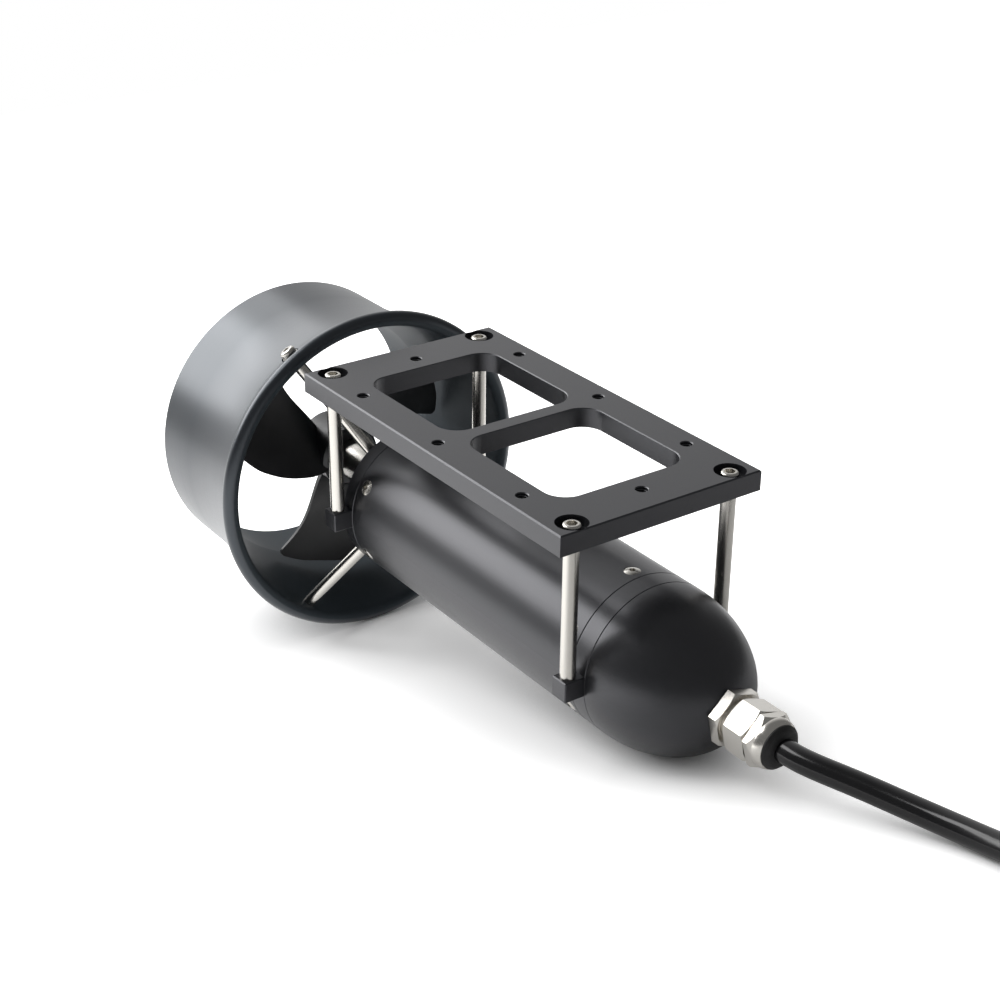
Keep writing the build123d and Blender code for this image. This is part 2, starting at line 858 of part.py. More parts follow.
def make_gland_washer():
    return on_axis(ring_along_x(gland_seat, flat_x, washer_d / 2, gland_thread_d / 2 + slip_gap))


def make_gland_body():
    body = bevelled_hex(flange_face, gland_seat, gland_flats, gland_angle, True, False)
    body += rod_along_x(gland_seat, gland_seat + gland_thread_length + washer_thickness, gland_thread_d / 2)
    body += rod_along_x(flange_face - gland_neck, flange_face, gland_neck_d / 2)
    bore = rod_along_x(seal_face, gland_seat + 20, cable_d / 2 + slip_gap)
    return on_axis(body - bore)


def make_gland_nut():
    nut = bevelled_hex(nut_end, nut_start, nut_gland_flats, nut_gland_angle, True, True)
    hollow = rod_along_x(flange_face - gland_neck, nut_start + 1, gland_neck_d / 2 + thread_gap)
    throat = rod_along_x(nut_end - 1, nut_start + 1, cable_d / 2 + slip_gap)
    return on_axis(nut - hollow - throat)


def make_gland_cap():
    """The domed cap: short flats, then a round shoulder down to the mouth."""
    corner_r = cap_flats / math.sqrt(3)
    flat_r = cap_flats / 2
    mouth_r = cap_mouth_d / 2
    bar = hex_along_x(cap_shoulder, cap_start, cap_flats, cap_angle)
    blank = turned(
        (cap_shoulder, 0), (cap_shoulder, flat_r), (cap_shoulder + 1.8, corner_r),
        (cap_start, corner_r), (cap_start, 0),
    )
    shoulder = ThreePointArc(
        (cap_shoulder, flat_r),
        (cap_shoulder - 0.72 * cap_round_length, mouth_r + 0.55 * (flat_r - mouth_r)),
        (cap_end, mouth_r),
    )
    dome = Curve() + [
        shoulder,
        Polyline((cap_end, mouth_r), (cap_end, 0), (cap_shoulder, 0), (cap_shoulder, flat_r)),
    ]
    cap = (bar & blank) + revolve(make_face(dome.edges()), Axis.X)
    cap += rod_along_x(cap_start, nut_end, cap_mouth_d / 2)
    pocket = rod_along_x(cap_end - 1, cable_start, seal_d / 2 - 0.6)
    throat = rod_along_x(cap_end - 1, nut_end + 1, cable_d / 2 + slip_gap)
    return on_axis(cap - pocket - throat)


def make_gland_seal():
    """Black rubber sleeve in the cap's mouth, with a funnel that lets the cable lean."""
    inner_r = cable_d / 2 + press_gap
    outer_r = seal_d / 2 - 0.6 - press_gap
    seal = turned(
        (cable_start, inner_r),
        (cable_start, outer_r),
        (cap_end, outer_r),
        (cap_end, seal_d / 2),
        (seal_face + seal_edge, seal_d / 2),
        (seal_face, seal_d / 2 - seal_edge),
        (seal_face, inner_r + seal_flare),
        (seal_face + seal_funnel, inner_r),
    )
    return on_axis(seal)


def make_cable_inlet():
    return on_axis(rod_along_x(cable_start, cable_start + cable_inside, cable_d / 2))


# The surface the thruster lies on touches the dome and the duct's lip.
def rest_slope():
    """Slope of that surface, rising towards the dome."""
    span = lip_x - dome_start
    slope = 0.2
    for _ in range(30):
        dome_reach = math.hypot(tube_r, slope * dome_length)
        lip_reach = lip_centre_r + lip_round * math.hypot(1, slope)
        slope = (lip_reach - dome_reach) / span
    return slope


slope = rest_slope()
rest_angle = math.atan(slope)
rest_z = axis_z - math.hypot(tube_r, slope * dome_length) + slope * dome_start
rest = Plane(
    origin=(0, 0, rest_z),
    x_dir=(math.cos(rest_angle), 0, -math.sin(rest_angle)),
    z_dir=(math.sin(rest_angle), 0, math.cos(rest_angle)),
)


def on_rest(p, q, height):
    """A point p along and q across the resting surface, at a height above it."""
    return rest.from_local_coords(Vector(p, q, height))


cable_r = cable_d / 2
coil_r = coil_across / 2
coil_base = coil_lift + cable_r
coil_top = coil_base + (coil_layers - 1) * cable_d
gland_exit = Vector(cable_start, 0, axis_z)

# Route of the cable's free stretch: out of the gland, then down to the resting surface
cable_route = [
    gland_exit,
    gland_exit + Vector(-9.5, 0, 0),
    gland_exit + Vector(-20.0, -1.6, 0),
    on_rest(-209.0, -7.8, 13.0),
    on_rest(-226.0, -12.2, 9.4),
    on_rest(-243.5, -15.6, 6.6),
    on_rest(-264.0, -17.0, 5.2),
    on_rest(-288.0, -16.6, 5.5),
    on_rest(coil_centre_p, coil_centre_q + coil_r, coil_base),
]

# Route of the tail, from the top of the coil down to the surface again
tail_route = [
    on_rest(coil_centre_p, coil_centre_q + coil_r, coil_top),
    on_rest(coil_centre_p - 20.0, coil_centre_q + coil_r - 0.3, coil_top - 0.8),
    on_rest(coil_centre_p - 42.0, coil_centre_q + coil_r - 2.0, coil_top - 5.6),
    on_rest(coil_centre_p - 64.0, coil_centre_q + coil_r - 5.0, 5.6),
    on_rest(coil_centre_p - 84.0, coil_centre_q + coil_r - 9.0, 5.2),
]


def route_path(name, points):
    """Straight runs joined by the largest tangent arcs that the runs allow."""
    radii = []
    for before, corner, after in zip(points, points[1:], points[2:]):
        incoming = corner - before
        outgoing = after - corner
        turn = math.radians(incoming.get_angle(outgoing))
        shorter = min(incoming.length, outgoing.length)
        radii.append(0.45 * shorter / math.tan(turn / 2))
    print(name, "bend radii", [round(radius) for radius in radii])
    return FilletPolyline(*points, radius=radii)


def make_cable_tube(name, points):
    path = route_path(name, points)
    section = Plane(origin=path @ 0, z_dir=path % 0) * Circle(cable_r)
    tube = sweep(section, path)
    expected = math.pi * cable_r**2 * path.length
    print(name, "length", round(path.length, 1), "volume ratio", round(tube.volume / expected, 4))
    return tube


def make_coil():
    height = coil_layers * cable_d
    ring = Cylinder(coil_r + cable_r, height) - Cylinder(coil_r - cable_r, height)
    centre = on_rest(coil_centre_p, coil_centre_q, coil_lift + height / 2)
    return Plane(origin=centre, x_dir=rest.x_dir, z_dir=rest.z_dir) * ring


def make_tie():
    """A flat strap round both turns of the coil, on the side away from the body."""
    height = coil_layers * cable_d
    inner_width = cable_d + 2 * slip_gap
    inner_height = height + 2 * slip_gap
    strap = Box(inner_width + 2 * tie_thickness, tie_width, inner_height + 2 * tie_thickness)
    strap -= Box(inner_width, tie_width, inner_height)
    centre = on_rest(coil_centre_p - coil_r, coil_centre_q, coil_lift + height / 2)
    return Plane(origin=centre, x_dir=rest.x_dir, z_dir=rest.z_dir) * strap


def make_cores():
    """Bare cores that stand out of the sheath at the cable's end."""
    end = tail_route[-1]
    direction = (tail_route[-1] - tail_route[-2]).normalized()
    place = Plane(origin=end, x_dir=(0, 0, 1), z_dir=direction)
    cores = []
    for angle in (90, 210, 330):
        y, z = polar((core_d + core_gap) / math.sqrt(3), angle)
        core = Cylinder(core_d / 2, core_length, align=(Align.CENTER, Align.CENTER, Align.MIN))
        cores.append(place * Pos(y, z, 0) * core)
    return cores


rear_outer, rear_inner = bearing_rings(
    tube_half - spigot_length, rear_bearing_width, rear_bearing_d, shaft_d
)
front_outer, front_inner = bearing_rings(
    bracket_front + bracket_width - front_bearing_width, front_bearing_width, front_bearing_d, journal_d
)

nodes = {
    "mount_plate": make_plate(),
    "plate_screws": make_plate_screws(),
    "standoff_rods": make_rods(),
    "body_tube": make_tube(),
    "rear_cap": make_rear_cap(),
    "nose_cap": make_nose_cap(),
    "rear_tube_screws": make_tube_screws(tube_screw_x),
    "nose_tube_screws": make_tube_screws(-tube_screw_x),
    "rear_o_ring": make_o_ring(tube_half - ring_inset),
    "nose_o_ring": make_o_ring(ring_inset - tube_half),
    "motor_bracket": make_bracket(),
    "stator_core": make_stator(),
    "windings": make_windings(),
    "bearing_outer_rings": [rear_outer, front_outer],
    "seal_housing": make_seal_housing(),
    "shaft_seals": make_shaft_seals(),
    "shaft_bush": make_shaft_bush(),
    "duct": make_duct(),
    "duct_struts": make_struts(),
    "strut_flat_washers": make_flat_washers(),
    "strut_spring_washers": make_spring_washers(),
    "strut_screws": make_strut_screws(),
    "shaft": make_shaft(),
    "bearing_inner_rings": [rear_inner, front_inner],
    "rotor_core": make_rotor(),
    "magnets": make_magnets(),
    "propeller": make_propeller(),
    "drive_pin": make_drive_pin(),
    "prop_washer": make_prop_washer(),
    "prop_nut": make_prop_nut(),
    "gland_washer": make_gland_washer(),
    "gland_body": make_gland_body(),
    "gland_nut": make_gland_nut(),
    "gland_cap": make_gland_cap(),
    "gland_seal": make_gland_seal(),
    "cable_inlet": make_cable_inlet(),
    "cable": make_cable_tube("cable", cable_route),
    "cable_coil": make_coil(),
    "cable_tail": make_cable_tube("cable tail", tail_route),
    "cable_tie": make_tie(),
    "cable_cores": make_cores(),
}

for name, shape in nodes.items():
    solids = [s for piece in (shape if isinstance(shape, list) else [shape]) for s in piece.solids()]
    export_step(Compound(children=solids), f"parts/{name}.step")
    print(name, len(solids))
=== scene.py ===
import json
import math

import bmesh
import bpy
from mathutils import Matrix, Quaternion, Vector


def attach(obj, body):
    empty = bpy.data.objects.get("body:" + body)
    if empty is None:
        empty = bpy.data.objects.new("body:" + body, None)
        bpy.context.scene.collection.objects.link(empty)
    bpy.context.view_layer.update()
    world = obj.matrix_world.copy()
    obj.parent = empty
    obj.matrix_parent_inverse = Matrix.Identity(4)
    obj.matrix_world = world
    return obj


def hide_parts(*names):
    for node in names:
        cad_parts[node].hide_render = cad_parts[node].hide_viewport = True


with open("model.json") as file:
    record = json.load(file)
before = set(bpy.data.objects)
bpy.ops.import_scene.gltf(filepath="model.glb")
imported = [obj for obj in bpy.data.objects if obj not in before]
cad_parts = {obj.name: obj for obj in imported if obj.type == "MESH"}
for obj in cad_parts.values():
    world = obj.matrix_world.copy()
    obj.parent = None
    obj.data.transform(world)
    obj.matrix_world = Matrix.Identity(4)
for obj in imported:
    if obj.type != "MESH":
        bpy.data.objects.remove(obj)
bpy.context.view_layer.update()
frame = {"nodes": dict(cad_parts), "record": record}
nodes = frame["nodes"]
print("frame loaded with", len(nodes), "CAD nodes")

mm = 0.001  # the frame is in metres and the sizes below are in millimetres
scene = bpy.context.scene
axisZ = -73.1  # height of the body's centre line, which runs along X


# Colours and nodes


def linear(hexColour):
    # sRGB hex to the linear values that Blender works in
    parts = [int(hexColour[i : i + 2], 16) / 255 for i in (1, 3, 5)]
    return [c / 12.92 if c <= 0.04045 else ((c + 0.055) / 1.055) ** 2.4 for c in parts] + [1.0]


def perMetre(size):
    # pattern scale for a feature of this size in millimetres
    return 1 / (size * mm)


def addNode(tree, kind, settings=None, links=None):
    # a settings key is a property of the node, or one of its sockets by name or number
    node = tree.nodes.new("ShaderNode" + kind)
    for key, value in (settings or {}).items():
        if isinstance(key, str) and hasattr(node, key):
            setattr(node, key, value)
        else:
            node.inputs[key].default_value = value
    for key, source in (links or {}).items():
        tree.links.new(source, node.inputs[key])
    return node


def newMaterial(name, surfaceSettings):
    material = bpy.data.materials.new(name)
    material.use_nodes = True
    tree = material.node_tree
    tree.nodes.clear()
    surface = addNode(tree, "BsdfPrincipled", surfaceSettings)
    addNode(tree, "OutputMaterial", links={"Surface": surface.outputs["BSDF"]})
    place = addNode(tree, "TexCoord").outputs["Object"]
    return material, tree, surface, place


# Studio: camera, floor, lamps and backdrop

studio = {
    "cameraPlace": (-574.646, 421.414, 320.583),
    "azimuth": 234.42,
    "elevation": 26.748,
    "roll": 0.466,
    "lens": 66.34,
    "sensor": 36,
    "clip": (0.02, 60),  # metres
    "restHeight": -129.2,  # the surface it lies on, under the origin
    "restTilt": 11.917,  # degrees that this surface leans against the body
}
# the white paper and the glow painted on it, darkened under the object into a painted shadow
floor = {
    "width": 9000,
    "colour": "#e6e6e6",
    "shadeReach": 120,  # how far above the paper ambient occlusion looks for the object when it paints the shadow into the glow
    "fade": 1.75,  # how fast that painted shadow darkens the glow under the object
    "mirrorFade": 1.1,  # the same in what the object reflects
    "mirrorSide": (0.94, 0.34, 0),  # reflections see the glow on this side only: a painted pool of light for reflections
    "mirrorStart": -150,
    "mirrorEnd": 30,
    "mirrorCentre": (200, 50, -170),  # and less of it far from here
    "mirrorFull": 250,
    "mirrorFar": 650,
    "mirrorLeft": 0.5,
}

cameraData = bpy.data.cameras.new("camera")
cameraData.lens = studio["lens"]
cameraData.sensor_width = studio["sensor"]
camera = bpy.data.objects.new("camera", cameraData)
scene.collection.objects.link(camera)
turn = Matrix.Rotation(math.radians(studio["azimuth"]), 4, "Z")
tilt = Matrix.Rotation(math.radians(90 - studio["elevation"]), 4, "X")
roll = Matrix.Rotation(math.radians(studio["roll"]), 4, "Z")
camera.matrix_world = Matrix.Translation(Vector(studio["cameraPlace"]) * mm) @ turn @ tilt @ roll
cameraData.clip_start, cameraData.clip_end = studio["clip"]
scene.camera = camera
scene.view_settings.view_transform = "Standard"

restAngle = math.radians(studio["restTilt"])
restAlong = Vector((math.cos(restAngle), 0, -math.sin(restAngle)))
restUp = Vector((math.sin(restAngle), 0, math.cos(restAngle)))
restOrigin = Vector((0, 0, studio["restHeight"] * mm))


def onRest(p, q, height):
    # a point p along and q across the surface that the thruster lies on, and a height above it
    return restOrigin + (restAlong * p + restUp * height) * mm + Vector((0, q * mm, 0))


floorMesh = bpy.data.meshes.new("floor")
half = floor["width"] / 2
floorCorners = ((-half, -half), (half, -half), (half, half), (-half, half))
floorMesh.from_pydata([onRest(p, q, 0) for p, q in floorCorners], [], [(0, 1, 2, 3)])
floorObject = bpy.data.objects.new("floor", floorMesh)
scene.collection.objects.link(floorObject)

# Matt white paper with a glow painted on it that shows white wherever the object leaves the paper open;
# ambient occlusion darkens the glow into a painted shadow under the object, reflections see a painted pool
# of it on one side, and the lamps' real shadow stays on it too
paper = bpy.data.materials.new("whitePaperPaintedGlow")
paper.use_nodes = True
tree = paper.node_tree
tree.nodes.clear()
diffuse = addNode(tree, "BsdfDiffuse", {"Color": linear(floor["colour"])})
rays = addNode(tree, "LightPath")
place = addNode(tree, "TexCoord").outputs["Object"]
# where reflections see the glow: a painted pool of light on one side, fading far from the object
across = addNode(tree, "VectorMath", {"operation": "DOT_PRODUCT", 1: floor["mirrorSide"]}, {0: place})
side = addNode(
    tree, "MapRange",
    {"interpolation_type": "SMOOTHSTEP",
     "From Min": floor["mirrorStart"] * mm, "From Max": floor["mirrorEnd"] * mm},
    {"Value": across.outputs["Value"]},
)
away = addNode(
    tree, "VectorMath", {"operation": "DISTANCE", 1: [c * mm for c in floor["mirrorCentre"]]}, {0: place}
)
near = addNode(
    tree, "MapRange",
    {"interpolation_type": "SMOOTHSTEP",
     "From Min": floor["mirrorFull"] * mm, "From Max": floor["mirrorFar"] * mm,
     "To Min": 1.0, "To Max": floor["mirrorLeft"]},
    {"Value": away.outputs["Value"]},
)
paintedReflectionShare = addNode(
    tree, "Math", {"operation": "MULTIPLY"}, {0: side.outputs["Result"], 1: near.outputs["Result"]}
)
shiny = addNode(
    tree, "Math", {"operation": "MAXIMUM"},
    {0: rays.outputs["Is Glossy Ray"], 1: rays.outputs["Is Transmission Ray"]},
)
shiny = addNode(tree, "Math", {"operation": "MULTIPLY"}, {0: shiny.outputs[0], 1: paintedReflectionShare.outputs[0]})
# ambient occlusion paints the object's shadow into the glow
paintedShadeAO = addNode(tree, "AmbientOcclusion", {"samples": 8, "Distance": floor["shadeReach"] * mm}).outputs["AO"]
seen = addNode(tree, "Math", {"operation": "POWER", 1: floor["fade"]}, {0: paintedShadeAO})
seen = addNode(
    tree, "Math", {"operation": "MULTIPLY"}, {0: rays.outputs["Is Camera Ray"], 1: seen.outputs[0]}
)
mirrored = addNode(tree, "Math", {"operation": "POWER", 1: floor["mirrorFade"]}, {0: paintedShadeAO})
mirrored = addNode(tree, "Math", {"operation": "MULTIPLY"}, {0: shiny.outputs[0], 1: mirrored.outputs[0]})
lift = addNode(tree, "Math", {"operation": "MAXIMUM"}, {0: seen.outputs[0], 1: mirrored.outputs[0]})
glow = addNode(tree, "Emission", {"Color": linear("#ffffff")}, {"Strength": lift.outputs[0]})
both = addNode(tree, "AddShader", links={0: diffuse.outputs[0], 1: glow.outputs[0]})
addNode(tree, "OutputMaterial", links={"Surface": both.outputs[0]})
floorMesh.materials.append(paper)


def addSoftbox(name, azimuth, elevation, roll, distance, width, height, radiance):
    # a rectangular softbox facing the object, its direction measured from the resting surface
    a, e = math.radians(azimuth), math.radians(elevation)
    out = restAlong * (math.cos(e) * math.cos(a)) + Vector((0, math.cos(e) * math.sin(a), 0))
    out += restUp * math.sin(e)
    lamp = bpy.data.lights.new(name, "AREA")
    lamp.shape = "RECTANGLE"
    lamp.size, lamp.size_y = width, height
    lamp.energy = radiance * math.pi * width * height
    lampObject = bpy.data.objects.new(name, lamp)
    scene.collection.objects.link(lampObject)
    lampObject.location = out * distance + Vector((0, 0, axisZ * mm))
    upright = (-out).to_track_quat("-Z", "Y")
    lampObject.rotation_euler = (Quaternion(out, math.radians(roll)) @ upright).to_euler()
    return lampObject


# degrees and metres, and how bright the cloth is where white is 1
softboxes = {
    "softboxLeft": {
        "azimuth": 32.5, "elevation": 34.5, "roll": 18, "distance": 1.6,
        "width": 1.27, "height": 1.02, "radiance": 4.7,
    },
    "softboxBack": {
        "azimuth": -4, "elevation": 38, "roll": 0, "distance": 1.8,
        "width": 0.9, "height": 1.0, "radiance": 1.9,
    },
    "softboxTop": {
        "azimuth": 56, "elevation": 62, "roll": 0, "distance": 1.5,
        "width": 0.8, "height": 0.4, "radiance": 4.5,
    },
}
for name, values in softboxes.items():
    addSoftbox(name, **values)

# White behind the object, dimmer towards the room on the camera's side
room = {
    "bright": 0.93,  # what reflections see of the backdrop
    "dim": 0.17,  # and of the room on the other sides
    "diffuse": 0.36,  # the even light that falls on matt surfaces
    "azimuth": -6,
    "start": 0.3,  # cosines of the angle from the backdrop's middle, between which it fades in
    "end": 0.85,
}
world = bpy.data.worlds.new("room")
scene.world = world
world.use_nodes = True
tree = world.node_tree
tree.nodes.clear()
direction = addNode(tree, "TexCoord").outputs["Generated"]
behind = math.radians(room["azimuth"])
facing = addNode(
    tree, "VectorMath",
    {"operation": "DOT_PRODUCT", 1: (math.cos(behind), math.sin(behind), 0)}, {0: direction},
)
level = addNode(
    tree, "MapRange",
    {"interpolation_type": "SMOOTHSTEP", "From Min": room["start"], "From Max": room["end"],
     "To Min": room["dim"], "To Max": room["bright"]},
    {"Value": facing.outputs["Value"]},
)
rays = addNode(tree, "LightPath")
shiny = addNode(
    tree, "Math", {"operation": "MAXIMUM"},
    {0: rays.outputs["Is Glossy Ray"], 1: rays.outputs["Is Transmission Ray"]},
)
level = addNode(
    tree, "Mix", {"data_type": "FLOAT", 2: room["diffuse"]}, {0: shiny.outputs[0], 3: level.outputs[0]}
)
level = addNode(
    tree, "Mix", {"data_type": "FLOAT", 3: 1.0}, {0: rays.outputs["Is Camera Ray"], 2: level.outputs[0]}
)
backdrop = addNode(tree, "Background", {"Color": linear("#ffffff")}, {"Strength": level.outputs[0]})
addNode(tree, "OutputWorld", links={"Surface": backdrop.outputs[0]})
print("studio ready")


# Materials


def wearAndHighlightEdges(tree, width):
    # 0 on the faces and 1 on the sharp edges, over about this many millimetres; it paints the edges lighter,
    # partly rubbed wear and partly a painted highlight
    rounded = addNode(tree, "Bevel", {"samples": 4, "Radius": width * mm}).outputs["Normal"]
    unrounded = addNode(tree, "NewGeometry").outputs["Normal"]
    same = addNode(tree, "VectorMath", {"operation": "DOT_PRODUCT"}, {0: rounded, 1: unrounded})
    share = addNode(tree, "MapRange", {"From Min": 0.995, "From Max": 0.9}, {"Value": same.outputs["Value"]})
    return share.outputs["Result"]


def blastedAnodise():
    # Aluminium, bead blasted and then anodised black: deep satin black, with a fine even grain that
    # breaks up the highlights, and a little more grey on the edges, partly where hands and tools have rubbed
    # them and partly a painted highlight
    finish = {
        "dye": "#141518", "dyeLight": "#1c1d20", "wornAndHighlight": "#35373a", "sheen": "#f9f9ff",
        "patch": 26, "grain": 0.55, "grainDepth": 0.012, "edge": 0.35,
        "rough": (0.30, 0.37),
    }
    material, tree, surface, place = newMaterial(
        "blackAnodisedAluminium", {"IOR": 1.65, "Metallic": 0.0, "Specular Tint": linear(finish["sheen"])}
    )
    patches = addNode(
        tree, "TexNoise", {"Scale": perMetre(finish["patch"]), "Detail": 4.0}, {"Vector": place}
    ).outputs["Fac"]
    # blasting leaves grains of about 0.1 mm; they are drawn coarser so that they show
    grain = addNode(
        tree, "TexNoise", {"Scale": perMetre(finish["grain"]), "Detail": 2.0, "Roughness": 0.6},
        {"Vector": place},
    ).outputs["Fac"]
    dyed = addNode(
        tree, "Mix", {"data_type": "RGBA", 6: linear(finish["dye"]), 7: linear(finish["dyeLight"])},
        {0: patches},
    )
    # a little more grey on the sharp edges: partly rubbed wear, partly a painted highlight
    colour = addNode(
        tree, "Mix", {"data_type": "RGBA", 7: linear(finish["wornAndHighlight"])},
        {0: wearAndHighlightEdges(tree, finish["edge"]), 6: dyed.outputs[2]},
    )
    low, high = finish["rough"]
    rough = addNode(
        tree, "MapRange", {"From Min": 0.3, "From Max": 0.7, "To Min": low, "To Max": high}, {"Value": grain}
    )
    bump = addNode(
        tree, "Bump", {"Strength": 0.5, "Distance": finish["grainDepth"] * mm}, {"Height": grain}
    )
    tree.links.new(colour.outputs[2], surface.inputs["Base Color"])
    tree.links.new(rough.outputs[0], surface.inputs["Roughness"])
    tree.links.new(bump.outputs[0], surface.inputs["Normal"])
    return material


def turnedAnodise():
    # Aluminium turned on a lathe, brushed lightly outside and anodised black: satin and a touch bluish,
    # with fine rings round the duct that draw its highlights out, and a little more grey on the edges,
    # partly rubbed wear and partly a painted highlight.
    # The bore isn't brushed, so it is dull; its lighter grey-blue colour is painted light that stands in for
    # the light reaching inside.
    finish = {
        "dye": "#15181c", "dyeLight": "#1d2126", "wornAndHighlight": "#373b40", "sheen": "#eef6ff",
        "patch": 40, "ring": 0.5, "ringDepth": 0.006, "grain": 0.6, "edge": 0.35,
        "rough": (0.29, 0.35), "bore": "#2c3338", "boreRough": 0.55, "boreSheen": 0.2,
    }
    material, tree, surface, place = newMaterial(
        "turnedAnodisedAluminium", {"IOR": 1.65, "Metallic": 0.0, "Specular Tint": linear(finish["sheen"])}
    )
    parts = addNode(tree, "SeparateXYZ", links={0: place})
    down = addNode(tree, "Math", {"operation": "SUBTRACT", 1: axisZ * mm}, {0: parts.outputs["Z"]})
    flat = addNode(tree, "CombineXYZ", links={0: parts.outputs["Y"], 1: down.outputs[0]})
    radius = addNode(tree, "VectorMath", {"operation": "LENGTH"}, {0: flat.outputs[0]})
    across = addNode(tree, "CombineXYZ", links={0: parts.outputs["X"], 1: radius.outputs["Value"]})
    # the tool's feed is about 0.15 mm a turn; its rings are drawn coarser so that they show
    rings = addNode(
        tree, "TexNoise", {"Scale": perMetre(finish["ring"]), "Detail": 2.0, "Roughness": 0.6},
        {"Vector": across.outputs[0]},
    ).outputs["Fac"]
    grain = addNode(
        tree, "TexNoise", {"Scale": perMetre(finish["grain"]), "Detail": 2.0, "Roughness": 0.6},
        {"Vector": place},
    ).outputs["Fac"]
    patches = addNode(
        tree, "TexNoise", {"Scale": perMetre(finish["patch"]), "Detail": 4.0}, {"Vector": place}
    ).outputs["Fac"]
    dyed = addNode(
        tree, "Mix", {"data_type": "RGBA", 6: linear(finish["dye"]), 7: linear(finish["dyeLight"])},
        {0: patches},
    )
    # a little more grey on the sharp edges: partly rubbed wear, partly a painted highlight
    colour = addNode(
        tree, "Mix", {"data_type": "RGBA", 7: linear(finish["wornAndHighlight"])},
        {0: wearAndHighlightEdges(tree, finish["edge"]), 6: dyed.outputs[2]},
    )
    height = addNode(tree, "Math", {"operation": "ADD"}, {0: rings, 1: grain})
    low, high = finish["rough"]
    rough = addNode(
        tree, "MapRange", {"From Min": 0.6, "From Max": 1.4, "To Min": low, "To Max": high},
        {"Value": height.outputs[0]},
    )
    bump = addNode(
        tree, "Bump", {"Strength": 0.4, "Distance": finish["ringDepth"] * mm}, {"Height": height.outputs[0]}
    )
    # 1 where the surface faces away from the centre line and 0 where it faces in
    facing = addNode(tree, "TexCoord").outputs["Normal"]
    fromAxis = addNode(tree, "CombineXYZ", links={"Y": parts.outputs["Y"], "Z": down.outputs[0]})
    outer = addNode(tree, "VectorMath", {"operation": "DOT_PRODUCT"}, {0: facing, 1: fromAxis.outputs[0]})
    outer = addNode(
        tree, "MapRange", {"From Min": -6 * mm, "From Max": 6 * mm}, {"Value": outer.outputs["Value"]}
    )
    # the inward faces take the bore's lighter grey-blue: painted light standing in for the light that
    # reaches inside the duct
    colour = addNode(
        tree, "Mix", {"data_type": "RGBA", 6: linear(finish["bore"])},
        {0: outer.outputs["Result"], 7: colour.outputs[2]},
    )
    rough = addNode(
        tree, "Mix", {"data_type": "FLOAT", 2: finish["boreRough"]},
        {0: outer.outputs["Result"], 3: rough.outputs[0]},
    )
    sheen = addNode(
        tree, "MapRange", {"To Min": finish["boreSheen"], "To Max": 0.5}, {"Value": outer.outputs["Result"]}
    )
    tree.links.new(sheen.outputs["Result"], surface.inputs["Specular IOR Level"])
    tree.links.new(colour.outputs[2], surface.inputs["Base Color"])
    tree.links.new(rough.outputs[0], surface.inputs["Roughness"])
    tree.links.new(bump.outputs[0], surface.inputs["Normal"])
    return material


def linedMetal(name, finish):
    # Bare metal with the fine lines that drawing, grinding or winding leaves along it
    material, tree, surface, place = newMaterial(name, {"Metallic": 1.0})
    stretched = addNode(tree, "VectorMath", {"operation": "MULTIPLY", 1: finish["stretch"]}, {0: place})
    lines = addNode(
        tree, "TexNoise", {"Scale": perMetre(finish["line"]), "Detail": 3.0, "Roughness": 0.6},
        {"Vector": stretched.outputs[0]},
    ).outputs["Fac"]
    colour = addNode(
        tree, "Mix", {"data_type": "RGBA", 6: linear(finish["colour"]), 7: linear(finish["light"])},
        {0: lines},
    )
    low, high = finish["rough"]
    rough = addNode(
        tree, "MapRange", {"From Min": 0.3, "From Max": 0.7, "To Min": low, "To Max": high}, {"Value": lines}
    )
    bump = addNode(tree, "Bump", {"Strength": 0.3, "Distance": finish["depth"] * mm}, {"Height": lines})
    tree.links.new(colour.outputs[2], surface.inputs["Base Color"])
    tree.links.new(rough.outputs[0], surface.inputs["Roughness"])
    tree.links.new(bump.outputs[0], surface.inputs["Normal"])
    return material


def evenSkin(name, settings, finish):
    # A moulded, plated or extruded skin: faint clouds of tone over a fine texture
    material, tree, surface, place = newMaterial(name, settings)
    clouds = addNode(
        tree, "TexNoise", {"Scale": perMetre(finish["cloud"]), "Detail": 4.0}, {"Vector": place}
    ).outputs["Fac"]
    grain = addNode(
        tree, "TexNoise", {"Scale": perMetre(finish["grain"]), "Detail": 2.0, "Roughness": 0.6},
        {"Vector": place},
    ).outputs["Fac"]
    colour = addNode(
        tree, "Mix", {"data_type": "RGBA", 6: linear(finish["colour"]), 7: linear(finish["light"])},
        {0: clouds},
    )
    low, high = finish["rough"]
    rough = addNode(
        tree, "MapRange", {"From Min": 0.3, "From Max": 0.7, "To Min": low, "To Max": high},
        {"Value": clouds},
    )
    bump = addNode(tree, "Bump", {"Strength": 0.4, "Distance": finish["depth"] * mm}, {"Height": grain})
    tree.links.new(colour.outputs[2], surface.inputs["Base Color"])
    tree.links.new(rough.outputs[0], surface.inputs["Roughness"])
    tree.links.new(bump.outputs[0], surface.inputs["Normal"])
    return material


# Stainless steel rod, drawn and polished: long bright and dark stripes with faint lines along them.
# The lines are about 0.02 mm apart in the real rod and are drawn coarser.
polishedStainless = linedMetal("polishedStainlessSteel", {
    "colour": "#bdbab4", "light": "#d2cfc9", "line": 0.2, "stretch": (1, 1, 0.02),
    "rough": (0.2, 0.28), "depth": 0.003,
})
# Brass turned from hexagon bar and nickel plated: bright, slightly warm, with soft machining texture
platedBrass = evenSkin("nickelPlatedBrass", {"Metallic": 1.0}, {
    "colour": "#dcd8d1", "light": "#e8e5df", "cloud": 9, "grain": 0.8, "rough": (0.18, 0.26), "depth": 0.004,
})
